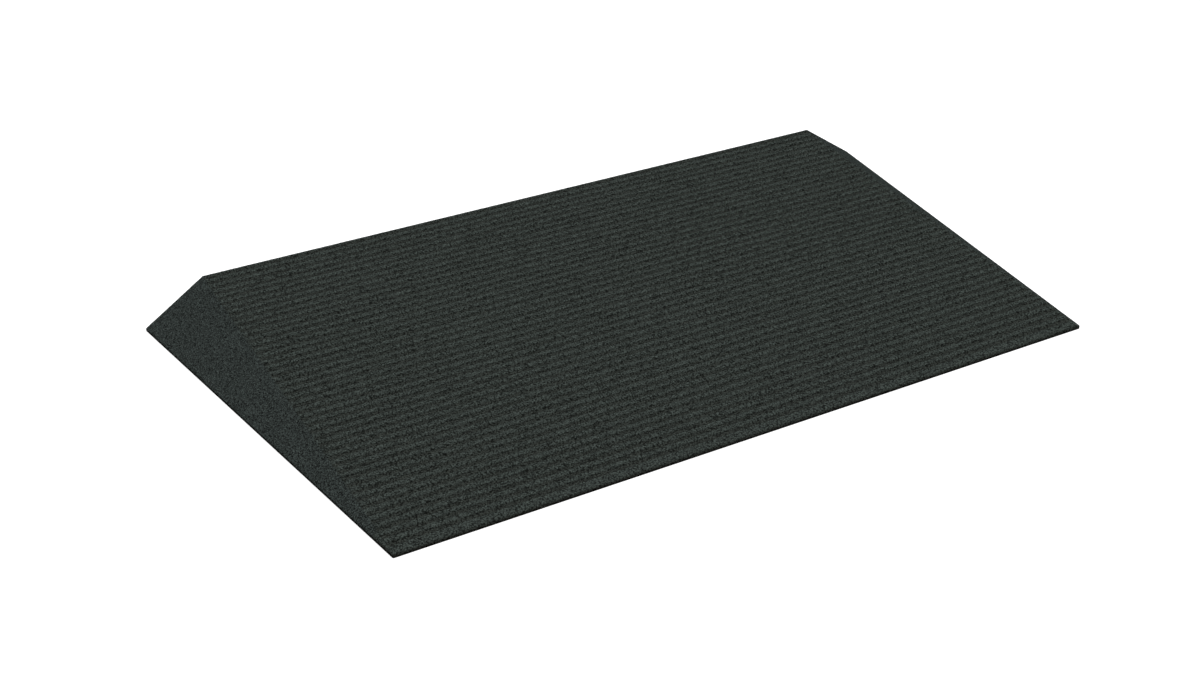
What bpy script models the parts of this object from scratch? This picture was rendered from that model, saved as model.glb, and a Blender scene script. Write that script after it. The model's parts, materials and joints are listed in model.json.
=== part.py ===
"""Threshold ramp of bonded crumb rubber, laminated from sheets and sawn to its slope.

A ribbed tread sheet lies on a core of flat sheets that are stacked on the floor and sawn off at the
slope. A solid wedge is bonded to each end of the core, and slopes down to the side. The tread's toe
is the blunt front edge: a solid strip that stands on the floor across the whole front.

Metres, +Z up. The origin is on the floor, in the middle of the ramp's footprint. The ramp climbs
towards +Y, so its front edge is at -Y and its high back face is at +Y.
"""
import math

import bmesh
import bpy
from mathutils import Vector

# Overall shape
RISE = 0.0621              # height of the back edge, just under 2 1/2 in
RUN = 0.635                # front edge to back face on the floor, 25 in
TREAD_WIDTH = 1.0222       # ribbed face from hip to hip, 40 1/4 in
BEVEL_REACH = 0.0872       # how far each side wedge stands out from the hip at the back
FRONT_LIP = 0.0052         # height of the blunt front edge
SIDE_LIP = 0.0042          # height of the blunt side edges
FRONT_ROUND = 0.0048       # radius of the front edge's top corner
SIDE_ROUND = 0.0012        # radius of the side edges' top corner
PLAN_CORNER = 0.0050       # radius of the footprint's four corners, seen from above

# Sheets and seams
TREAD_SHEET = 0.00635      # thickness of the ribbed sheet, 1/4 in
CORE_SHEET = 0.009525      # thickness of a core sheet with its glue line, 3/8 in
GLUE_LINE = 0.0003         # clearance between bonded pieces
THINNEST_EDGE = 0.0025     # crumb rubber that lies on the floor tears if it is sawn thinner

# Grooves across the tread
GROOVE_PITCH = 0.01424     # just under 9/16 in, along the slope
GROOVE_MOUTH = 0.0084      # width at the surface
GROOVE_FLOOR = 0.0054      # width at the bottom
GROOVE_DEPTH = 0.0016      # 1/16 in
FRONT_STRIP = 0.0187       # lip's edge to the middle of the last groove

# How finely round stretches are drawn
CORNER_STEPS = 4
ROUND_STEPS = 4

SPARE = 0.010              # how far blanks and cutters stand past what they shape
WELD = 1e-6                # points closer than this are one point

# Places that follow from the dimensions
FRONT = -RUN / 2
BACK = RUN / 2
HIP = TREAD_WIDTH / 2
UP = Vector((0, 0, 1))
SLOPE = math.atan2(RISE - FRONT_LIP, RUN)
SLOPE_LENGTH = math.hypot(RISE - FRONT_LIP, RUN)
BEVEL_RATIO = BEVEL_REACH / (RISE - SIDE_LIP)
TREAD_DROP = TREAD_SHEET / math.cos(SLOPE)
CORE_DROP = TREAD_DROP + GLUE_LINE
CORE_FRONT = FRONT + (THINNEST_EDGE + CORE_DROP - FRONT_LIP) / math.tan(SLOPE)
SLOPE_NORMAL = Vector((0, -math.sin(SLOPE), math.cos(SLOPE)))


def slope_height(y):
    """Height of the ribbed face's plane above the floor."""
    return FRONT_LIP + (y - FRONT) * math.tan(SLOPE)


def foot_half_width(y):
    """Half the footprint's width: the bevel plane runs from the hip down to the side lip."""
    return HIP + BEVEL_RATIO * (slope_height(y) - SIDE_LIP)


def clear_scene():
    for thing in list(bpy.data.objects):
        bpy.data.objects.remove(thing, do_unlink=True)


def crumb_rubber(name, colour, roughness):
    material = bpy.data.materials.new(name)
    material.use_nodes = True
    shader = material.node_tree.nodes["Principled BSDF"]
    shader.inputs["Base Color"].default_value = (*colour, 1.0)
    shader.inputs["Roughness"].default_value = roughness
    shader.inputs["Metallic"].default_value = 0.0
    material.diffuse_color = (*colour, 1.0)
    return material


def add_object(name, body, parent=None, material=None):
    """Turns a bmesh into a named object. One with no material is a cutter, which isn't rendered."""
    bmesh.ops.remove_doubles(body, verts=body.verts[:], dist=WELD)
    bmesh.ops.recalc_face_normals(body, faces=body.faces[:])
    mesh = bpy.data.meshes.new(name)
    body.to_mesh(mesh)
    body.free()
    thing = bpy.data.objects.new(name, mesh)
    bpy.context.scene.collection.objects.link(thing)
    thing.parent = parent
    if material:
        mesh.materials.append(material)
    else:
        thing.hide_render = True
        thing.display_type = "WIRE"
    return thing


def extrude_outline(body, points, shift):
    """A closed prism: the outline's points and the same points shifted, in one bmesh."""
    near = [body.verts.new(point) for point in points]
    far = [body.verts.new(Vector(point) + Vector(shift)) for point in points]
    body.faces.new(near)
    body.faces.new(list(reversed(far)))
    for index in range(len(points)):
        after = (index + 1) % len(points)
        body.faces.new((near[after], near[index], far[index], far[after]))


def box(low, high):
    body = bmesh.new()
    corners = ((low[0], low[1]), (high[0], low[1]), (high[0], high[1]), (low[0], high[1]))
    extrude_outline(body, [(x, y, low[2]) for x, y in corners], (0, 0, high[2] - low[2]))
    return body


def saw(body, point, normal):
    """Takes off what lies past the plane, on the side that the normal points to."""
    everything = body.verts[:] + body.edges[:] + body.faces[:]
    cut = bmesh.ops.bisect_plane(
        body, geom=everything, dist=WELD, plane_co=point, plane_no=normal, clear_outer=True
    )
    rim = [part for part in cut["geom_cut"] if isinstance(part, bmesh.types.BMEdge)]
    if rim:
        bmesh.ops.edgeloop_fill(body, edges=rim)


def turned(angle):
    return Vector((math.cos(angle), math.sin(angle), 0))


def footprint():
    """The footprint's corner points, anticlockwise from above, with each corner as an arc."""
    front, back = foot_half_width(FRONT), foot_half_width(BACK)
    corners = [(-front, FRONT), (front, FRONT), (back, BACK), (-back, BACK)]
    corners = [Vector((x, y, 0)) for x, y in corners]
    points = []
    for index, corner in enumerate(corners):
        arriving = corner - corners[index - 1]
        leaving = corners[(index + 1) % 4] - corner
        first = math.atan2(-arriving.x, arriving.y)
        turn = (math.atan2(-leaving.x, leaving.y) - first) % (2 * math.pi)
        inset = PLAN_CORNER / math.cos(turn / 2)
        centre = corner - inset * turned(first + turn / 2)
        for step in range(CORNER_STEPS + 1):
            points.append(centre + PLAN_CORNER * turned(first + turn * step / CORNER_STEPS))
    return points


def bevel_normal(side):
    return Vector((side, -math.tan(SLOPE) * BEVEL_RATIO, BEVEL_RATIO)).normalized()


def side_normal(side):
    """Level and square to a side edge, which flares out towards the back."""
    flare = math.atan2(foot_half_width(BACK) - foot_half_width(FRONT), RUN)
    return Vector((side * math.cos(flare), -math.sin(flare), 0))


def round_over(body, point, outward, lip, radius, lean):
    """Rounds the top corner of an upright edge face of the ramp with a few flat cuts.

    point is at the foot of the face and lean is how far the surface above it tilts from level.
    """
    reach = math.tan((math.pi / 2 - lean) / 2)
    radius = min(radius, lip / reach)
    centre = point - radius * outward + (lip - radius * reach) * UP
    for step in range(1, ROUND_STEPS + 1):
        angle = (math.pi / 2 - lean) * step / (ROUND_STEPS + 1)
        normal = math.cos(angle) * outward + math.sin(angle) * UP
        saw(body, centre + radius * normal, normal)


def ramp_blank():
    """The whole ramp's outer shape, with no seams and no grooves."""
    body = bmesh.new()
    extrude_outline(body, footprint(), (0, 0, RISE + SPARE))
    saw(body, Vector((0, FRONT, FRONT_LIP)), SLOPE_NORMAL)
    round_over(body, Vector((0, FRONT, 0)), Vector((0, -1, 0)), FRONT_LIP, FRONT_ROUND, SLOPE)
    for side in (-1, 1):
        tilt = bevel_normal(side)
        saw(body, Vector((side * HIP, FRONT, FRONT_LIP)), tilt)
        foot = Vector((side * foot_half_width(FRONT), FRONT, 0))
        round_over(body, foot, side_normal(side), SIDE_LIP, SIDE_ROUND, math.acos(tilt.z))
    return body


def groove_cutter():
    """One bar for each groove, with sloping walls, laid across the whole ramp."""
    body = bmesh.new()
    reach = foot_half_width(BACK) + SPARE
    along = Vector((0, math.cos(SLOPE), math.sin(SLOPE)))
    back_margin = GROOVE_MOUTH / 2 + GROOVE_DEPTH
    count = int((SLOPE_LENGTH - FRONT_STRIP - back_margin) / GROOVE_PITCH) + 1
    wall = (GROOVE_MOUTH - GROOVE_FLOOR) / 2 / GROOVE_DEPTH
    above = 2 * GROOVE_DEPTH
    for index in range(count):
        middle = Vector((-reach, FRONT, FRONT_LIP)) + along * (FRONT_STRIP + index * GROOVE_PITCH)
        section = []
        for depth in (-GROOVE_DEPTH, above):
            half = GROOVE_MOUTH / 2 + wall * depth
            section.append((half, depth))
        (floor_half, floor), (top_half, top) = section
        outline = ((-floor_half, floor), (-top_half, top), (top_half, top), (floor_half, floor))
        points = [middle + along * shift + SLOPE_NORMAL * depth for shift, depth in outline]
        extrude_outline(body, points, (2 * reach, 0, 0))
    return add_object("groove_cutter", body)


def cut(thing, cutter):
    modifier = thing.modifiers.new(cutter.name, "BOOLEAN")
    modifier.operation = "DIFFERENCE"
    modifier.solver = "EXACT"
    modifier.object = cutter


def under_tread_cutter():
    """The room under the tread sheet, behind its toe, for the core."""
    reach = foot_half_width(BACK) + SPARE
    body = box((-reach, CORE_FRONT - GLUE_LINE, -SPARE), (reach, BACK + SPARE, RISE + SPARE))
    saw(body, Vector((0, FRONT, FRONT_LIP - TREAD_DROP)), SLOPE_NORMAL)
    return add_object("under_tread_cutter", body)


def side_cutter(name, side):
    """The room beyond the hip, behind the toe, for a side wedge."""
    inner, outer = HIP - GLUE_LINE / 2, foot_half_width(BACK) + SPARE
    low, high = sorted((side * inner, side * outer))
    body = box((low, CORE_FRONT - GLUE_LINE, -SPARE), (high, BACK + SPARE, RISE + SPARE))
    return add_object(name, body)


def make_tread(parent, grooves, material):
    tread = add_object("tread", ramp_blank(), parent, material)
    cut(tread, under_tread_cutter())
    cut(tread, side_cutter("left_side_cutter", -1))
    cut(tread, side_cutter("right_side_cutter", 1))
    cut(tread, grooves)
    return tread


def make_bevel(name, side, parent, grooves, material):
    body = ramp_blank()
    saw(body, Vector((side * (HIP + GLUE_LINE / 2), 0, 0)), Vector((-side, 0, 0)))
    saw(body, Vector((0, CORE_FRONT, 0)), Vector((0, -1, 0)))
    bevel = add_object(name, body, parent, material)
    cut(bevel, grooves)
    return bevel


def make_core(parent, material):
    """Flat sheets, each sawn off at the slope. The top one takes what height is left."""
    inner = HIP - GLUE_LINE / 2
    height = RISE - TREAD_DROP
    count = math.ceil((height - THINNEST_EDGE) / CORE_SHEET)
    for index in range(count):
        floor = index * CORE_SHEET
        top = (CORE_SHEET if index < count - 1 else height + SPARE - floor) - GLUE_LINE
        body = box((-inner, CORE_FRONT, 0), (inner, BACK, top))
        saw(body, Vector((0, FRONT, FRONT_LIP - CORE_DROP - floor)), SLOPE_NORMAL)
        layer = add_object(f"core_layer_{index + 1}", body, parent, material)
        layer.location.z = floor


def main():
    clear_scene()
    ramp = bpy.data.objects.new("ramp", None)
    bpy.context.scene.collection.objects.link(ramp)
    grooves = groove_cutter()
    ribbed = crumb_rubber("ribbed_tread_rubber", (0.0343, 0.0409, 0.0372), 0.95)
    smooth = crumb_rubber("smooth_wedge_rubber", (0.0290, 0.0350, 0.0325), 0.90)
    sawn = crumb_rubber("sawn_core_rubber", (0.0240, 0.0270, 0.0250), 1.00)
    make_tread(ramp, grooves, ribbed)
    make_bevel("left_bevel", -1, ramp, grooves, smooth)
    make_bevel("right_bevel", 1, ramp, grooves, smooth)
    make_core(ramp, sawn)


main()
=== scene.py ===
# %% [markdown]
# A rubber threshold ramp, dressed for a studio picture
#
# A threshold ramp is a low wedge that lets a wheelchair roll over a door sill. This one is made of
# bonded rubber crumb: small granules of old rubber, pressed together with a black binder. A ribbed
# tread lies on top, a smooth wedge slopes down at each side, and the front ends in a blunt toe.
#
# The solids of the ramp are already made to size and are loaded here as a fixed frame. This script
# gives them their surface: pressed ribs, rounded edges, the crumb itself, and the light to see it by.

# %% Load the frame
import json
import math

import bmesh
import bpy
import numpy as np
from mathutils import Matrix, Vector

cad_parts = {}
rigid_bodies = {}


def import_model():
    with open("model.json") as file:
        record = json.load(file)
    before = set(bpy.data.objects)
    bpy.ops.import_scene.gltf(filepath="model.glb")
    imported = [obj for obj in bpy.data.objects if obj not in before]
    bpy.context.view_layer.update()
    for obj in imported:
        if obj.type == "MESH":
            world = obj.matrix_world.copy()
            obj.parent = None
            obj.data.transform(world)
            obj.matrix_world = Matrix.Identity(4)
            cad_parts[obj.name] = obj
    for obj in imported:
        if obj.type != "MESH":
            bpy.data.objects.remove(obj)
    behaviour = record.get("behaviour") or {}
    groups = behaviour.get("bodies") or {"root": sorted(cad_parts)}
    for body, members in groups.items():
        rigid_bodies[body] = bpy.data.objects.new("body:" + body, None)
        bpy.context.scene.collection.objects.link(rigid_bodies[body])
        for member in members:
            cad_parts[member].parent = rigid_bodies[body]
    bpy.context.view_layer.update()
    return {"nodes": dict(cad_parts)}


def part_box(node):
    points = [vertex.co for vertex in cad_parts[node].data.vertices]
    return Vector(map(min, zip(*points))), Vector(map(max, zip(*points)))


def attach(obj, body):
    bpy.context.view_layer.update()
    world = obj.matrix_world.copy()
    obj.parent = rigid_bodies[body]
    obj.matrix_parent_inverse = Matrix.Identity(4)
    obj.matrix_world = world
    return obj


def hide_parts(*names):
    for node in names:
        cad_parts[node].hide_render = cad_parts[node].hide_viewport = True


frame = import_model()
print("nodes:", sorted(frame["nodes"]))

# %% [markdown]
# Sizes
#
# The overall sizes are read from the frame, so the surface always fits the solids. What is finer
# than the frame's boxes can tell, such as the spacing of the ribs, is written here in metres.
#
# Most places on the ramp are easiest to give by their distance up the slope from the front edge.
# FRONT_STRIP is that distance for the middle of the first groove, and TOE_LENGTH for the toe's back.
# Two functions turn it into a point, and give the height of the slope above the floor.

# %% Sizes of the ramp
MM = 0.001

tread_low, tread_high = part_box("tread")
core_low, core_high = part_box("core_layer_1")
FRONT, BACK = tread_low.y, tread_high.y
RISE = tread_high.z
GLUE_LINE = 0.3 * MM
HIP = core_high.x + GLUE_LINE / 2
TOE_BACK = core_low.y - GLUE_LINE / 2

BEVEL_REACH = 87.2 * MM
FRONT_LIP = 5.2 * MM
SIDE_LIP = 4.2 * MM
FRONT_ROUND = 4.8 * MM
SIDE_ROUND = 1.2 * MM
PLAN_CORNER = 1.5 * MM
SHEET = 6.35 * MM

GROOVE_PITCH = 14.24 * MM
GROOVE_MOUTH = 8.4 * MM
GROOVE_FLOOR = 5.4 * MM
GROOVE_DEPTH = 1.6 * MM
FRONT_STRIP = 18.7 * MM

SLOPE = math.atan2(RISE - FRONT_LIP, BACK - FRONT)
SLOPE_LENGTH = math.hypot(RISE - FRONT_LIP, BACK - FRONT)
ALONG = Vector((0, math.cos(SLOPE), math.sin(SLOPE)))
SLOPE_NORMAL = Vector((0, -math.sin(SLOPE), math.cos(SLOPE)))
BEVEL_RATIO = BEVEL_REACH / (RISE - SIDE_LIP)
TOE_LENGTH = (TOE_BACK - FRONT) / math.cos(SLOPE)
GROOVES = int((SLOPE_LENGTH - FRONT_STRIP - GROOVE_MOUTH / 2) / GROOVE_PITCH) + 1


def on_slope(distance, depth=0.0):
    """A point on the middle line, this far up the slope and this far under the tops of the ribs."""
    return Vector((0, FRONT, FRONT_LIP)) + distance * ALONG - depth * SLOPE_NORMAL


def slope_height(y):
    """How high the tops of the ribs are over the floor, at this y."""
    return FRONT_LIP + (y - FRONT) * math.tan(SLOPE)


print("slope", round(math.degrees(SLOPE), 2), "degrees,", GROOVES, "grooves")

# %% [markdown]
# A helper for nodes
#
# Both the shapes and the finishes are made with node trees. One small function adds a node, sets
# it up and links what is passed to it: a socket becomes a link, and anything else becomes a value.
# A second one turns the hex colours that people write into the linear ones that light needs.


# %% Add a node
def add_node(tree, kind, inputs=None, **settings):
    """A new node with its settings made and its inputs linked or set."""
    node = tree.nodes.new(kind)
    for name, value in settings.items():
        setattr(node, name, value)
    for key, value in (inputs or {}).items():
        if isinstance(value, bpy.types.NodeSocket):
            tree.links.new(value, node.inputs[key])
        else:
            node.inputs[key].default_value = value
    return node


def linear(code):
    """An sRGB hex colour as linear red, green and blue."""
    channels = [int(code[start:start + 2], 16) / 255 for start in (1, 3, 5)]
    channels = [c / 12.92 if c <= 0.04045 else ((c + 0.055) / 1.055) ** 2.4 for c in channels]
    return (*channels, 1.0)


print("charcoal", [round(value, 4) for value in linear("#363b38")])

# %% [markdown]
# Camera
#
# The camera stands at the front left of the ramp and looks down on it by 30 degrees. Its place and
# its lens were worked out from the vanishing points of the ramp's edges in the photograph.

# %% Camera
CAMERA_PLACE = Vector((-1.05283, -1.7076, 1.13314))
CAMERA_TARGET = Vector((-0.06962, -0.00885, -0.00014))

camera_data = bpy.data.cameras.new("camera")
camera_data.lens = 50.0
camera_data.sensor_width = 36.0
camera = bpy.data.objects.new("camera", camera_data)
camera.location = CAMERA_PLACE
aim = CAMERA_TARGET - camera.location
camera.rotation_euler = aim.to_track_quat("-Z", "Y").to_euler()
bpy.context.scene.collection.objects.link(camera)
bpy.context.scene.camera = camera
bpy.context.scene.view_settings.view_transform = "Standard"
print("camera looks down by", round(math.degrees(math.asin(-aim.z / aim.length)), 1), "degrees")

# %% [markdown]
# Light and floor
#
# The photograph has a pure white background and very soft light, such as a tent gives. An even
# dome does most of the work. A large lamp overhead, a little to the right, does the rest, and makes
# the left wedge a shade darker than the right one. On a level surface the two add up to about 1, so
# a colour renders about as it is written.
#
# The dome and the floor look white to the camera, and the ramp's shadow falls on the floor. What
# the camera sees of the floor also glows, so that only the darkest of the shadow is left, right at
# the foot of the ramp. The photograph shows none either. Light from a white floor would fill the
# low edges and the pores, which are almost black in the photograph, so to the ramp itself the floor
# is nearly black.

# %% World
DOME = 0.6

world = bpy.data.worlds.new("white_tent")
world.use_nodes = True
bpy.context.scene.world = world
tree = world.node_tree
path = add_node(tree, "ShaderNodeLightPath")
seen = add_node(tree, "ShaderNodeMath", {
    0: path.outputs["Is Camera Ray"], 1: path.outputs["Is Glossy Ray"],
}, operation="MAXIMUM")
seen = add_node(tree, "ShaderNodeMath", {
    0: seen.outputs[0], 1: path.outputs["Is Transmission Ray"],
}, operation="MAXIMUM")
strength = add_node(tree, "ShaderNodeMapRange", {
    "Value": seen.outputs[0], "To Min": DOME, "To Max": 1.0,
})
tree.links.new(strength.outputs[0], tree.nodes["Background"].inputs["Strength"])
tree.nodes["Background"].inputs["Color"].default_value = (1, 1, 1, 1)
print("the dome gives", DOME, "of the light on a level surface")

# %% Lamp
LAMP_SHARE = 0.385
LAMP_PLACE = Vector((1.2, 0.0, 10.0))
LAMP_SIZE = 6.0

# A lamp of this power throws LAMP_SHARE of the light of a white dome on a surface that faces it.
lamp_data = bpy.data.lights.new("overhead_softbox", "AREA")
lamp_data.shape = "DISK"
lamp_data.size = LAMP_SIZE
lamp_data.energy = LAMP_SHARE * math.pi ** 2 * LAMP_PLACE.length_squared
lamp = bpy.data.objects.new("overhead_softbox", lamp_data)
lamp.location = LAMP_PLACE
lamp.rotation_euler = (-LAMP_PLACE).to_track_quat("-Z", "Y").to_euler()
bpy.context.scene.collection.objects.link(lamp)
print("lamp", round(lamp_data.energy, 1), "W")

# %% Floor
FLOOR_REACH = 8.0
FLOOR_SUNK = 0.2 * MM
FLOOR_WHITE = (0.8, 0.8, 0.8, 1.0)
FLOOR_GLOW = 0.6
FLOOR_TO_RAMP = (0.04, 0.03, 0.02, 1.0)


def studio_floor():
    """White to the camera, with the ramp's shadow on it, and nearly black to the ramp."""
    material = bpy.data.materials.new("white_studio_floor")
    material.use_nodes = True
    tree = material.node_tree
    tree.nodes.clear()
    path = add_node(tree, "ShaderNodeLightPath")
    seen = add_node(tree, "ShaderNodeMath", {
        0: path.outputs["Is Camera Ray"], 1: path.outputs["Is Glossy Ray"],
    }, operation="MAXIMUM")
    black = add_node(tree, "ShaderNodeBsdfDiffuse", {"Color": FLOOR_TO_RAMP})
    white = add_node(tree, "ShaderNodeBsdfDiffuse", {"Color": FLOOR_WHITE})
    glow = add_node(tree, "ShaderNodeEmission", {"Color": (1, 1, 1, 1), "Strength": FLOOR_GLOW})
    bright = add_node(tree, "ShaderNodeAddShader", {0: white.outputs[0], 1: glow.outputs[0]})
    mixed = add_node(tree, "ShaderNodeMixShader", {
        0: seen.outputs[0], 1: black.outputs[0], 2: bright.outputs[0],
    })
    add_node(tree, "ShaderNodeOutputMaterial", {"Surface": mixed.outputs[0]})
    mesh = bpy.data.meshes.new("floor")
    signs = ((-1, -1), (1, -1), (1, 1), (-1, 1))
    corners = [(x * FLOOR_REACH, y * FLOOR_REACH, -FLOOR_SUNK) for x, y in signs]
    mesh.from_pydata(corners, [], [(0, 1, 2, 3)])
    mesh.materials.append(material)
    floor = bpy.data.objects.new("floor", mesh)
    bpy.context.scene.collection.objects.link(floor)
    return floor


floor = studio_floor()
print("floor", tuple(round(value, 1) for value in floor.dimensions))

# %% [markdown]
# Bonded rubber crumb
#
# The real material is a heap of rubber granules 1 to 3 mm across, ground from old tyres and pressed
# together with a black polyurethane binder. Some granules are jet black, some are greyed by wear
# and dust, and between them are pores where no light gets in. From a step away that reads as a matt
# charcoal with a fine, even grain and a faint green cast. Rubber torn as finely as this has no
# sheen left, so the specular level is zero.
#
# A photograph of crumb would show its seams. A Voronoi texture is a good model instead, because it
# fills space with cells that each have a random colour. A ramp turns that number into the granule's
# tone, and the distance from the cell's middle raises each granule a little for the light. A second
# Voronoi texture, whose cells are clumps of granules, darkens the pores between them with painted
# shade. The tread's clumps are drawn larger than its granules, because finer pores blur away in a
# picture of the whole ramp. A noise bends the place at which the cells are read, so that their
# outlines look torn, and a finer one scuffs their tops.
#
# The bottoms of the grooves and the lips near the floor are drawn blacker and a little warmer than the
# crumb. In the grooves this is painted shade, with some binder that stays there unscuffed. On the lips
# near the floor it is painted contact shadow. Each mesh made here carries an attribute that says how
# strong this darkening is, from 0 to 2, and the tint below is multiplied in by it. The sawn core has
# no such attribute, which counts as 0.

# %% The crumb material
CRUMB = 1.5 * MM
CLUMP = 2.0 * MM
TEAR = 1.6 * MM
TEAR_REACH = 1.6 * MM
SCUFF = 0.45 * MM
SCUFF_DEPTH = 0.2 * MM
PORE_FULL = 0.75
BULGE_STRENGTH = 0.6
FRESH_ROUGHNESS = 0.95
WORN_ROUGHNESS = 0.75
RUBBER_IOR = 1.52
# The tint of the painted shade in the grooves, with some binder, and of the painted contact shadow on
# the lips.
SHADE_AND_BINDER_TINT = (0.71, 0.67, 0.655, 1.0)


def crumb_rubber(name, tones, clump, pores, dome):
    """tones are hex colours from the blackest granule to the most worn one, clump is the distance
    between pores, and dome is how far a granule bulges. pores are the painted shade of the pores, where
    it starts, as a share of the clump's size from its middle, and how much of the tone it takes where
    it is full, which is at PORE_FULL."""
    pore_shade, pore_start, pore_cover = pores
    material = bpy.data.materials.new(name)
    material.use_nodes = True
    tree = material.node_tree
    shader = tree.nodes["Principled BSDF"]
    place = add_node(tree, "ShaderNodeTexCoord").outputs["Object"]
    torn = add_node(tree, "ShaderNodeTexNoise", {"Vector": place, "Scale": 1 / TEAR})
    torn = add_node(tree, "ShaderNodeVectorMath", {
        0: torn.outputs["Color"], 1: (0.5, 0.5, 0.5),
    }, operation="SUBTRACT")
    torn = add_node(tree, "ShaderNodeVectorMath", {
        0: torn.outputs[0], 1: (TEAR_REACH, TEAR_REACH, TEAR_REACH), 2: place,
    }, operation="MULTIPLY_ADD")
    cells = add_node(tree, "ShaderNodeTexVoronoi", {"Vector": torn.outputs[0], "Scale": 1 / CRUMB})
    clumps = add_node(tree, "ShaderNodeTexVoronoi", {"Vector": torn.outputs[0], "Scale": 1 / clump})
    chance = add_node(tree, "ShaderNodeSeparateColor", {"Color": cells.outputs["Color"]})
    tone = add_node(tree, "ShaderNodeValToRGB", {"Fac": chance.outputs["Red"]})
    stops = tone.color_ramp.elements
    while len(stops) < len(tones):
        stops.new(0.5)
    for index, code in enumerate(tones):
        stops[index].position = index / (len(tones) - 1)
        stops[index].color = linear(code)
    pore = add_node(tree, "ShaderNodeMapRange", {
        "Value": clumps.outputs["Distance"],
        "From Min": pore_start, "From Max": PORE_FULL, "To Max": pore_cover,
    })
    # Inputs 6 and 7 of a Mix node are its two colours, and output 2 is what they mix to.
    colour = add_node(tree, "ShaderNodeMix", {
        "Factor": pore.outputs[0], 6: tone.outputs["Color"], 7: linear(pore_shade),
    }, data_type="RGBA")
    # This attribute carries painted shade in the grooves, with some binder, and painted contact shadow
    # on the lips.
    shade_and_binder = add_node(tree, "ShaderNodeAttribute", attribute_name="shade_and_binder")
    blackened = add_node(tree, "ShaderNodeMix", {
        "Factor": shade_and_binder.outputs["Fac"], 6: colour.outputs[2], 7: SHADE_AND_BINDER_TINT,
    }, data_type="RGBA", blend_type="MULTIPLY", clamp_factor=False)
    bulge = add_node(tree, "ShaderNodeBump", {
        "Height": cells.outputs["Distance"], "Distance": dome, "Strength": BULGE_STRENGTH,
    }, invert=True)
    scuffs = add_node(tree, "ShaderNodeTexNoise", {"Vector": place, "Scale": 1 / SCUFF})
    scuffed = add_node(tree, "ShaderNodeBump", {
        "Height": scuffs.outputs["Fac"], "Distance": SCUFF_DEPTH, "Normal": bulge.outputs["Normal"],
    })
    worn = add_node(tree, "ShaderNodeMapRange", {
        "Value": chance.outputs["Red"], "To Min": FRESH_ROUGHNESS, "To Max": WORN_ROUGHNESS,
    })
    tree.links.new(blackened.outputs[2], shader.inputs["Base Color"])
    tree.links.new(scuffed.outputs["Normal"], shader.inputs["Normal"])
    tree.links.new(worn.outputs[0], shader.inputs["Roughness"])
    shader.inputs["IOR"].default_value = RUBBER_IOR
    shader.inputs["Specular IOR Level"].default_value = 0.0
    return material


TREAD_TONES = ("#393f3c", "#454b48", "#4c5450", "#58615d")
WEDGE_TONES = ("#393e3c", "#404644", "#48504e", "#58615e")
SAWN_TONES = ("#232625", "#3a3f3d", "#454b48", "#5f6763")
# The first colour of each is the painted shade inside the pores.
TREAD_PORES = ("#090807", 0.30, 0.84)
WEDGE_PORES = ("#0b0b0a", 0.30, 0.90)
SAWN_PORES = ("#070706", 0.50, 0.90)
PRESSED_DOME = 0.25 * MM
SAWN_DOME = 0.05 * MM
# Pressed under the grooved plate and then walked on: granules worn pale or still black, and pores
# between clumps of them, where the plate pulled away.
tread_rubber = crumb_rubber("pressed_crumb_rubber", TREAD_TONES, CLUMP, TREAD_PORES, PRESSED_DOME)
# Pressed under a flat plate and hardly touched since: a finer and more even grain.
wedge_rubber = crumb_rubber("smooth_crumb_rubber", WEDGE_TONES, CRUMB, WEDGE_PORES, PRESSED_DOME)
# Sawn through: the blade cut each granule flat and left narrow pores between them.
sawn_rubber = crumb_rubber("sawn_crumb_rubber", SAWN_TONES, CRUMB, SAWN_PORES, SAWN_DOME)
print("materials:", [m.name for m in (tread_rubber, wedge_rubber, sawn_rubber)])

# %% [markdown]
# Crumb that stands in relief
#
# Bump in a material only bends the light. A pressed crumb surface has real pits, which show at the
# edges and in the grooves. The first geometry tree moves each point along its normal by a noise
# that has the size of the granules. It digs deeper than it raises, so that the ramp hardly outgrows
# its solids, and it leaves alone what lies on the floor. The second tree uses it on a whole mesh,
# and gives that mesh its rubber.

# %% The relief tree
GRAIN = CRUMB
PIT = 0.25 * MM
DUG, RAISED = 0.6, 0.4
FADE_HEIGHT = 1.0 * MM


def new_tree(name, sockets):
    """A geometry tree with these named inputs, and the sockets that give them inside it."""
    tree = bpy.data.node_groups.new(name, "GeometryNodeTree")
    for label, kind in sockets:
        tree.interface.new_socket(name=label, in_out="INPUT", socket_type="NodeSocket" + kind)
    tree.interface.new_socket(name="Geometry", in_out="OUTPUT", socket_type="NodeSocketGeometry")
    return tree, add_node(tree, "NodeGroupInput").outputs


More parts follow.
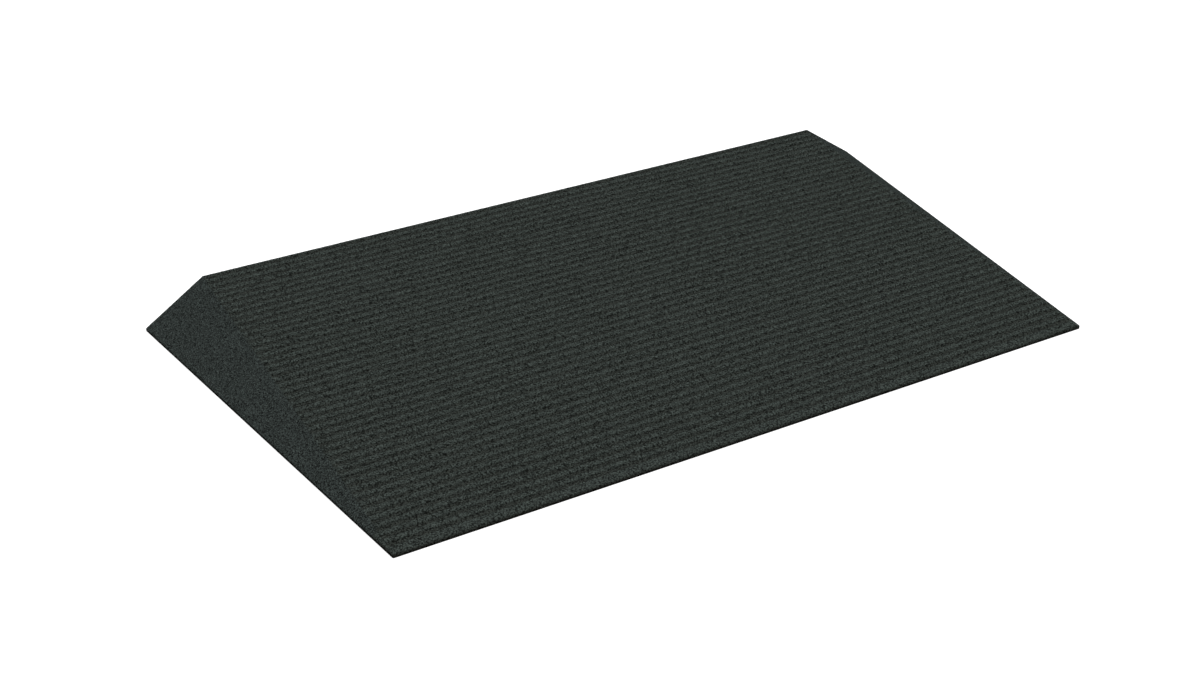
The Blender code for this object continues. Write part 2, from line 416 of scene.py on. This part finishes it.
def relief_tree():
    """Shares DUG and RAISED of the relief lie below and above the mesh, and it fades out below the
    height FADE_HEIGHT over the floor."""
    tree, given = new_tree("crumb_relief", (("Mesh", "Geometry"), ("Grain", "Float"), ("Pit", "Float")))
    place = add_node(tree, "GeometryNodeInputPosition").outputs[0]
    density = add_node(tree, "ShaderNodeMath", {0: 1.0, 1: given["Grain"]}, operation="DIVIDE")
    noise = add_node(tree, "ShaderNodeTexNoise", {
        "Vector": place, "Scale": density.outputs[0], "Detail": 0.0,
    })
    # The noise hardly ever leaves the range from a quarter to three quarters.
    dug = add_node(tree, "ShaderNodeMapRange", {
        "Value": noise.outputs["Fac"],
        "From Min": 0.25, "From Max": 0.75, "To Min": -DUG, "To Max": RAISED,
    })
    height = add_node(tree, "ShaderNodeSeparateXYZ", {0: place})
    clear = add_node(tree, "ShaderNodeMapRange", {
        "Value": height.outputs["Z"], "From Min": 0.0, "From Max": FADE_HEIGHT,
    })
    depth = add_node(tree, "ShaderNodeMath", {0: dug.outputs[0], 1: given["Pit"]}, operation="MULTIPLY")
    depth = add_node(tree, "ShaderNodeMath", {
        0: depth.outputs[0], 1: clear.outputs[0],
    }, operation="MULTIPLY")
    normal = add_node(tree, "GeometryNodeInputNormal").outputs[0]
    push = add_node(tree, "ShaderNodeVectorMath", {
        0: normal, "Scale": depth.outputs[0],
    }, operation="SCALE")
    moved = add_node(tree, "GeometryNodeSetPosition", {
        "Geometry": given["Mesh"], "Offset": push.outputs[0],
    })
    add_node(tree, "NodeGroupOutput", {"Geometry": moved.outputs[0]})
    return tree


relief = relief_tree()
print("relief of", round(PIT / MM, 2), "mm from pit to crumb, grain", round(GRAIN / MM, 2), "mm")


# %% The skin tree
def skin_tree():
    """The relief and the rubber, for a mesh that is whole already."""
    tree, given = new_tree("crumb_skin", (
        ("Mesh", "Geometry"), ("Grain", "Float"), ("Pit", "Float"), ("Rubber", "Material"),
    ))
    rough = add_node(tree, "GeometryNodeGroup", {
        key: given[key] for key in ("Mesh", "Grain", "Pit")
    }, node_tree=relief)
    real = add_node(tree, "GeometryNodeRealizeInstances", {"Geometry": rough.outputs[0]})
    painted = add_node(tree, "GeometryNodeSetMaterial", {
        "Geometry": real.outputs[0], "Material": given["Rubber"],
    })
    add_node(tree, "NodeGroupOutput", {"Geometry": painted.outputs[0]})
    return tree


skin = skin_tree()
print("the skin tree has", len(skin.nodes), "nodes")

# %% [markdown]
# From a tree to a piece
#
# A modifier runs a geometry tree over a mesh. Its inputs are set by the identifiers of their
# sockets, since a name may be used twice. The result is then copied into a plain mesh object, so
# that the ramp can be exported without its trees.

# %% Run a tree
CREASE = math.radians(50)


def with_tree(name, mesh, tree, values):
    """A plain mesh object of this name, made by running the tree over the mesh."""
    source = bpy.data.objects.new(name + "_source", mesh)
    modifier = source.modifiers.new(tree.name, "NODES")
    modifier.node_group = tree
    for socket in tree.interface.items_tree:
        if socket.in_out == "INPUT" and socket.name in values:
            modifier[socket.identifier] = values[socket.name]
    bpy.context.scene.collection.objects.link(source)
    bpy.context.view_layer.update()
    graph = bpy.context.evaluated_depsgraph_get()
    made = bpy.data.meshes.new_from_object(source.evaluated_get(graph))
    made.name = name
    bpy.data.objects.remove(source)
    piece = bpy.data.objects.new(name, made)
    bpy.context.scene.collection.objects.link(piece)
    return piece


def triangles(mesh):
    """How many triangles the faces of the mesh make."""
    return sum(len(face.vertices) - 2 for face in mesh.polygons)


def finish_piece(piece, node):
    """Smooth faces with sharp creases, the piece set on the ramp's body, and the frame's solid for it
    hidden.
    """
    piece.data.shade_smooth()
    piece.data.set_sharp_from_angle(angle=CREASE)
    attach(piece, "root")
    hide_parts(node)
    print(piece.name, triangles(piece.data), "triangles")


print("edges over", round(math.degrees(CREASE)), "degrees stay sharp")

# %% [markdown]
# The shape of a groove
#
# A groove has a flat floor and walls that lean outwards, so that the press plate lets go of it. The
# crumb can't fill a sharp corner of the plate, which leaves soft shoulders. A smooth step from 0 to
# 1 draws such a wall well. Everything that meets the grooves uses this one function.

# %% Groove profile
SOFT_CORNER = 0.35 * MM
CROWN_HALF = (GROOVE_PITCH - GROOVE_MOUTH) / 2 - SOFT_CORNER
FLOOR_HALF = GROOVE_FLOOR / 2
WALL_RUN = GROOVE_PITCH / 2 - CROWN_HALF - FLOOR_HALF
GROOVE_DROP = GROOVE_DEPTH / math.cos(SLOPE)
LAST_GROOVE = FRONT_STRIP + (GROOVES - 1) * GROOVE_PITCH


def smooth_step(value):
    """From 0 to 1, level at both ends."""
    value = np.clip(value, 0.0, 1.0)
    return value * value * (3 - 2 * value)


def rib_share(distance):
    """1 on top of a rib, 0 at the bottom of a groove, for distances up the slope."""
    turn = np.round((distance - FRONT_STRIP) / GROOVE_PITCH)
    turn = np.clip(turn, 0, GROOVES - 1)
    off_middle = np.abs(distance - FRONT_STRIP - turn * GROOVE_PITCH)
    return smooth_step((off_middle - FLOOR_HALF) / WALL_RUN)


def bed_share(distance):
    """The same for the sheet under the ribs, which only rises in front of the first groove and
    behind the last one."""
    inside = (distance > FRONT_STRIP) & (distance < LAST_GROOVE)
    return np.where(inside, 0.0, rib_share(distance))


print("rib tops", round(2 * CROWN_HALF / MM, 2), "mm wide")

# %% [markdown]
# Lofting
#
# The sheet and the wedges have a different outline at every step up the slope, but each outline
# has the same number of points. Joining one outline to the next makes a closed skin, and the first
# and the last one close its ends. Points that fall together are merged afterwards.

# %% Loft helper
MERGED = 0.01 * MM
TOO_SHORT = 0.005 * MM
LIP_STEPS = 4
LIP_ROW = 1.5 * MM


def loft(name, *bodies):
    """A mesh with a closed skin round each body. A body is a list of outlines, and each outline is
    a list of points in the same order."""
    mesh = bpy.data.meshes.new(name)
    shell = bmesh.new()
    for body in bodies:
        rings = [[shell.verts.new(point) for point in outline] for outline in body]
        count = len(rings[0])
        for low, high in zip(rings, rings[1:]):
            for index in range(count):
                after = (index + 1) % count
                shell.faces.new((low[index], low[after], high[after], high[index]))
        shell.faces.new(reversed(rings[0]))
        shell.faces.new(rings[-1])
    bmesh.ops.remove_doubles(shell, verts=shell.verts, dist=MERGED)
    bmesh.ops.dissolve_degenerate(shell, edges=shell.edges, dist=TOO_SHORT)
    bmesh.ops.recalc_face_normals(shell, faces=shell.faces)
    shell.to_mesh(mesh)
    shell.free()
    return mesh


def side_profile(reach, columns):
    """Distances in from the foot of a side and their heights: the blunt lip with a point LIP_ROW
    up, its rounded edge, and the bevel as far as reach. columns are the bevel's own points, as
    shares of its width."""
    lean = math.atan(1 / BEVEL_RATIO)
    setback = SIDE_ROUND * math.tan((math.pi / 2 - lean) / 2)
    centre = Vector((SIDE_ROUND, SIDE_LIP - setback))
    turns = np.linspace(math.pi, math.pi / 2 + lean, LIP_STEPS)
    inwards = centre.x + SIDE_ROUND * np.cos(turns)
    upwards = centre.y + SIDE_ROUND * np.sin(turns)
    bevel = [(d, SIDE_LIP + d / BEVEL_RATIO) for d in inwards[-1] + (reach - inwards[-1]) * columns]
    return [(0.0, 0.0), (0.0, LIP_ROW), *zip(inwards, upwards), *bevel]


lip_profile = side_profile(20 * MM, np.array([1.0]))
print("the lip, in mm:", [tuple(round(value / MM, 2) for value in point) for point in lip_profile])

# %% [markdown]
# The tread sheet and its toe
#
# The tread is one sheet a quarter of an inch thick. At the front it ends in a solid toe that stands
# on the floor, with a plain strip on top, a rounded nose and a little bevel at each side. Behind
# the toe the sheet is flat, and the ribs stand on it.
#
# Rows lie close together where the shape bends, and only four of them cross each groove, because
# the sheet is hidden under the ribs between them. GROOVE_ROWS gives their places in pitches. Across
# the sheet the points of a row lie about a COLUMN apart, and BEVEL_COLUMNS gives those down the
# toe's bevels, as shares of the bevel's width.

# %% Rows of the sheet
COLUMN = 2.4 * MM
STRIP_ROW = 1.7 * MM
BEVEL_COLUMNS = np.concatenate([np.linspace(0.0, 0.9, 5)[1:], [1.0]])
LEAST_BEVEL = 0.5 * MM
GROOVE_ROWS = np.linspace(-0.232, 0.232, 4)
NOSE_ROWS = 7
FIRST_WALL_ROWS = 8
LAST_WALL_ROWS = 6


def sheet_distances(first, last):
    """Distances up the slope at which the sheet gets a row of points."""
    rows = [FRONT_STRIP + (k + part) * GROOVE_PITCH for k in range(GROOVES) for part in GROOVE_ROWS]
    plain = FRONT_STRIP - GROOVE_PITCH / 2
    rows += list(np.linspace(plain, FRONT_STRIP - FLOOR_HALF, FIRST_WALL_ROWS))
    rows += list(np.linspace(LAST_GROOVE + FLOOR_HALF, SLOPE_LENGTH, LAST_WALL_ROWS))
    rows += list(np.arange(FRONT_ROUND, plain, STRIP_ROW))
    return sorted(row for row in [first, *rows, last] if first <= row <= last)


def nose_rows():
    """y and height of the rounded nose, from the floor up to where the plain strip starts."""
    setback = FRONT_ROUND * math.tan((math.pi / 2 - SLOPE) / 2)
    turns = np.linspace(0, math.pi / 2 - SLOPE, NOSE_ROWS)
    y = FRONT + FRONT_ROUND * (1 - np.cos(turns))
    z = FRONT_LIP - setback + FRONT_ROUND * np.sin(turns)
    return list(zip(y, z))


def foot_half_width(y):
    """Half the ramp's width on the floor, with its rounded plan corner at the front."""
    wide = HIP + BEVEL_RATIO * (slope_height(y) - SIDE_LIP)
    short = max(0.0, PLAN_CORNER - (y - FRONT))
    return wide - PLAN_CORNER + math.sqrt(max(0.0, PLAN_CORNER ** 2 - short ** 2))


def toe_outline(y, bed, crest):
    """One outline of the toe at this y. bed is its height between the hips, crest at the bevels."""
    foot = foot_half_width(y)
    edge = min(HIP, foot - LEAST_BEVEL)
    side = [(foot - d, min(z, crest)) for d, z in side_profile(foot - edge, BEVEL_COLUMNS)]
    middle = np.linspace(edge, -edge, 2 * int(HIP / COLUMN) + 1)
    right = [(x, y, z) for x, z in side]
    top = [(x, y, bed) for x in middle]
    left = [(-x, y, z) for x, z in reversed(side)]
    return right + top + left


def toe_outlines():
    """Up the nose, and on to where the toe meets the core."""
    outlines = [toe_outline(y, z, z) for y, z in nose_rows()]
    start = (nose_rows()[-1][0] - FRONT) / math.cos(SLOPE)
    for distance in sheet_distances(start, TOE_LENGTH)[1:]:
        y = FRONT + distance * math.cos(SLOPE)
        ridge = slope_height(y)
        bed = ridge - GROOVE_DROP * (1 - bed_share(distance))
        crest = ridge - GROOVE_DROP * (1 - rib_share(distance))
        outlines.append(toe_outline(y, bed, crest))
    return outlines


def sheet_outlines():
    """From the toe to the back edge, between the hips."""
    outlines = []
    columns = np.linspace(HIP, -HIP, 2 * int(HIP / COLUMN) + 1)
    for distance in sheet_distances(TOE_LENGTH, SLOPE_LENGTH):
        y = FRONT + distance * math.cos(SLOPE)
        top = slope_height(y) - GROOVE_DROP * (1 - bed_share(distance))
        under = slope_height(y) - SHEET / math.cos(SLOPE)
        outlines.append([(HIP, y, under), *((x, y, top) for x in columns), (-HIP, y, under)])
    return outlines


print(len(toe_outlines()), "rows in the toe,", len(sheet_outlines()), "behind it")

# %% [markdown]
# Where shade is painted, and binder gathers
#
# How dark a place is drawn depends on where it lies: painted shade at the bottoms of the grooves,
# where some binder also stays, and painted contact shadow on the lips near the floor. It could be
# painted by hand or worked out in the material. Here each mesh carries the answer as a number on its
# points, which the material reads. Its groove part comes from the same function as the grooves, so it
# always lies in them.

# %% Mark the painted shade and binder
# The share of a groove's depth, from the top down, that gets no painted shade.
GROOVE_UNSHADED_SHARE = 0.4
HIP_SPARE = 0.1 * MM
# Heights of the painted contact shadow on the lips, and whether groove bottoms get painted shade too.
TREAD_SHADE_AND_BINDER = {"black": 1.0 * MM, "clear": 6.0 * MM, "grooved": True}
WEDGE_PAINTED_SHADE = {"black": 0.5 * MM, "clear": 3.2 * MM, "grooved": False}


def mark_shade_and_binder(mesh, black, clear, grooved):
    """Stores on each point how dark it is drawn: 2 up to the height black, as painted contact shadow on
    the lips, 0 from the height clear, and if grooved, 1 at the bottom of a groove between the hips, as
    painted shade with some binder. The upper part of a groove, down to the share of its depth set
    above, is left clear."""
    places = np.empty(len(mesh.vertices) * 3)
    mesh.vertices.foreach_get("co", places)
    places = places.reshape(-1, 3) - np.array(on_slope(0))
    share = 2.0 - 2.0 * smooth_step((places[:, 2] + FRONT_LIP - black) / (clear - black))
    if grooved:
        depth = 1.0 - rib_share(places @ np.array(ALONG))
        in_groove = smooth_step((depth - GROOVE_UNSHADED_SHARE) / (1.0 - GROOVE_UNSHADED_SHARE))
        between_hips = np.abs(places[:, 0]) < HIP + HIP_SPARE
        share = np.maximum(share, np.where(between_hips, in_groove, 0.0))
    mesh.attributes.new("shade_and_binder", "FLOAT", "POINT").data.foreach_set("value", share)
    print(mesh.name, "mean share of binder", round(float(share.mean()), 2))


# This gives how much of a groove's depth stays free of the painted shade.
print("binder is worn off the upper", round(GROOVE_UNSHADED_SHARE * GROOVE_DEPTH / MM, 2), "mm of a groove")

# %% Make the tread sheet
tread_mesh = loft("tread_sheet_plain", toe_outlines(), sheet_outlines())
tread_sheet = with_tree("tread_sheet", tread_mesh, skin, {
    "Grain": GRAIN, "Pit": PIT, "Rubber": tread_rubber,
})
mark_shade_and_binder(tread_sheet.data, **TREAD_SHADE_AND_BINDER)
finish_piece(tread_sheet, "tread")

# %% [markdown]
# The pressed ribs
#
# The tread is pressed under a grooved plate, so its ribs are all alike: flat on top, with sloping
# walls and shoulders that the crumb rounds off. A repeated shape like this suits Geometry Nodes.
# A row of BEADS points is raised into the section of a rib, closed, and swept across the ramp in
# steps of STEP. One copy is set on each point of a line up the slope, and the relief tree then
# makes every rib different.
#
# The feet are sunk a little into the sheet, so that no light shows under a rib. The ribs come in
# flights from front to back, because one mesh with all of them would be too large to handle.

# %% The rib tree
STEP = 1.9 * MM
BEADS = 16
SUNK = 1.0 * MM
FLIGHTS = ("lower_ribs", "middle_ribs", "upper_ribs", "top_ribs")


def rib_tree():
    """A row of pressed ribs, from the place Start on in steps of Pitch."""
    tree, given = new_tree("pressed_ribs", (
        ("Start", "Vector"), ("Pitch", "Vector"), ("Ribs", "Int"), ("Slope", "Float"),
        ("Length", "Float"), ("Step", "Float"), ("Crown width", "Float"), ("Foot width", "Float"),
        ("Height", "Float"), ("Beads", "Int"), ("Grain", "Float"), ("Pit", "Float"),
        ("Rubber", "Material"),
    ))

    def half_of(value):
        return add_node(tree, "ShaderNodeMath", {0: value, 1: 0.5}, operation="MULTIPLY").outputs[0]

    def level_line(width):
        """A straight curve along X, centred on the origin."""
        end = add_node(tree, "ShaderNodeCombineXYZ", {"X": half_of(width)}).outputs[0]
        start = add_node(tree, "ShaderNodeVectorMath", {0: end, "Scale": -1.0}, operation="SCALE")
        line = add_node(tree, "GeometryNodeCurvePrimitiveLine", {"Start": start.outputs[0], "End": end})
        return line.outputs[0]

    rail = add_node(tree, "GeometryNodeResampleCurve", {
        "Curve": level_line(given["Length"]), "Length": given["Step"],
    }, mode="LENGTH")
    row = add_node(tree, "GeometryNodeResampleCurve", {
        "Curve": level_line(given["Foot width"]), "Count": given["Beads"],
    }, mode="COUNT")
    across = add_node(tree, "ShaderNodeSeparateXYZ", {
        0: add_node(tree, "GeometryNodeInputPosition").outputs[0],
    })
    off_middle = add_node(tree, "ShaderNodeMath", {0: across.outputs["X"]}, operation="ABSOLUTE")
    # On a curve along X, what points to -Y in the profile points up in the swept mesh.
    downwards = add_node(tree, "ShaderNodeMath", {0: given["Height"], 1: -1.0}, operation="MULTIPLY")
    raised = add_node(tree, "ShaderNodeMapRange", {
        "Value": off_middle.outputs[0], "From Min": half_of(given["Foot width"]),
        "From Max": half_of(given["Crown width"]), "To Min": 0.0, "To Max": downwards.outputs[0],
    }, interpolation_type="SMOOTHSTEP")
    lift = add_node(tree, "ShaderNodeCombineXYZ", {"Y": raised.outputs[0]})
    arch = add_node(tree, "GeometryNodeSetPosition", {
        "Geometry": row.outputs[0], "Offset": lift.outputs[0],
    })
    section = add_node(tree, "GeometryNodeSetSplineCyclic", {
        "Geometry": arch.outputs[0], "Cyclic": True,
    })
    rib = add_node(tree, "GeometryNodeCurveToMesh", {
        "Curve": rail.outputs[0], "Profile Curve": section.outputs[0], "Fill Caps": True,
    })
    spots = add_node(tree, "GeometryNodeMeshLine", {
        "Count": given["Ribs"], "Start Location": given["Start"], "Offset": given["Pitch"],
    })
    tilt = add_node(tree, "ShaderNodeCombineXYZ", {"X": given["Slope"]})
    copies = add_node(tree, "GeometryNodeInstanceOnPoints", {
        "Points": spots.outputs[0], "Instance": rib.outputs[0], "Rotation": tilt.outputs[0],
    })
    real = add_node(tree, "GeometryNodeRealizeInstances", {"Geometry": copies.outputs[0]})
    rough = add_node(tree, "GeometryNodeGroup", {
        "Mesh": real.outputs[0], "Grain": given["Grain"], "Pit": given["Pit"],
    }, node_tree=relief)
    painted = add_node(tree, "GeometryNodeSetMaterial", {
        "Geometry": rough.outputs[0], "Material": given["Rubber"],
    })
    add_node(tree, "NodeGroupOutput", {"Geometry": painted.outputs[0]})
    return tree


ribs = rib_tree()
print("the rib tree has", len(ribs.nodes), "nodes")

# %% Press the ribs
# A wall goes on into the sheet. Its part above the sheet takes this share of its whole run.
BARE_WALL = 0.58

rib_height = GROOVE_DEPTH + SUNK
foot_half = CROWN_HALF + WALL_RUN / BARE_WALL
per_flight = math.ceil((GROOVES - 1) / len(FLIGHTS))
for index, name in enumerate(FLIGHTS):
    first = index * per_flight
    middle = FRONT_STRIP + (first + 0.5) * GROOVE_PITCH
    flight = with_tree(name, bpy.data.meshes.new(name + "_seed"), ribs, {
        "Start": on_slope(middle, rib_height), "Pitch": GROOVE_PITCH * ALONG, "Slope": SLOPE,
        "Ribs": min(per_flight, GROOVES - 1 - first), "Length": 2 * HIP, "Step": STEP,
        "Crown width": 2 * CROWN_HALF, "Foot width": 2 * foot_half,
        "Height": rib_height, "Beads": BEADS, "Grain": GRAIN, "Pit": PIT, "Rubber": tread_rubber,
    })
    mark_shade_and_binder(flight.data, **TREAD_SHADE_AND_BINDER)
    finish_piece(flight, "tread")

# %% [markdown]
# The side wedges
#
# Each side wedge slopes from the edge of the tread down to a blunt lip on the floor. It is smooth,
# apart from the ends of the grooves, which run out through its top edge as shallow notches.
#
# The rows run the same way as the grooves. The columns lie close together at the top edge, where
# the notches are, and are spread evenly over the rest.

# %% Side wedges
WEDGE_ROW = 1.35 * MM
WEDGE_COLUMNS = 40
NOTCH_COLUMNS = 5
NOTCH_SPARE = 1.3


def wedge_outline(distance, side):
    """One outline of a wedge, this far up the slope. side is -1 for the left wedge."""
    y = FRONT + distance * math.cos(SLOPE)
    foot = foot_half_width(y)
    ridge = slope_height(y)
    crest = ridge - GROOVE_DROP * (1 - rib_share(distance))
    reach = foot - HIP
    notch = 1.0 - BEVEL_RATIO * GROOVE_DEPTH * NOTCH_SPARE / reach
    columns = np.concatenate([
        np.linspace(0.0, notch, WEDGE_COLUMNS)[1:], np.linspace(notch, 1.0, NOTCH_COLUMNS)[1:],
    ])
    profile = [(foot - d, min(z, crest)) for d, z in side_profile(reach, columns)]
    return [(side * x, y, z) for x, z in [*profile, (HIP, ridge / 2), (HIP, 0.0)]]


rows = int((SLOPE_LENGTH - TOE_LENGTH) / WEDGE_ROW)
distances = np.linspace(TOE_LENGTH, SLOPE_LENGTH, rows)
for name, node, side in (("left_wedge", "left_bevel", -1), ("right_wedge", "right_bevel", 1)):
    wedge_mesh = loft(name + "_plain", [wedge_outline(distance, side) for distance in distances])
    wedge = with_tree(name, wedge_mesh, skin, {"Grain": GRAIN, "Pit": PIT, "Rubber": wedge_rubber})
    mark_shade_and_binder(wedge.data, **WEDGE_PAINTED_SHADE)
    finish_piece(wedge, node)

# %% [markdown]
# The core
#
# Under the tread lie sheets of the same rubber, stacked and sawn off at the slope. Only their back
# edges show, so the solids stay as they are and get the blacker, harsher look of a sawn cut.

# %% Core sheets
for name in sorted(frame["nodes"]):
    if name.startswith("core_layer"):
        core_sheet = bpy.data.objects[name]
        for material_slot in core_sheet.material_slots:
            material_slot.material = sawn_rubber
        print(name, [material_slot.material.name for material_slot in core_sheet.material_slots])
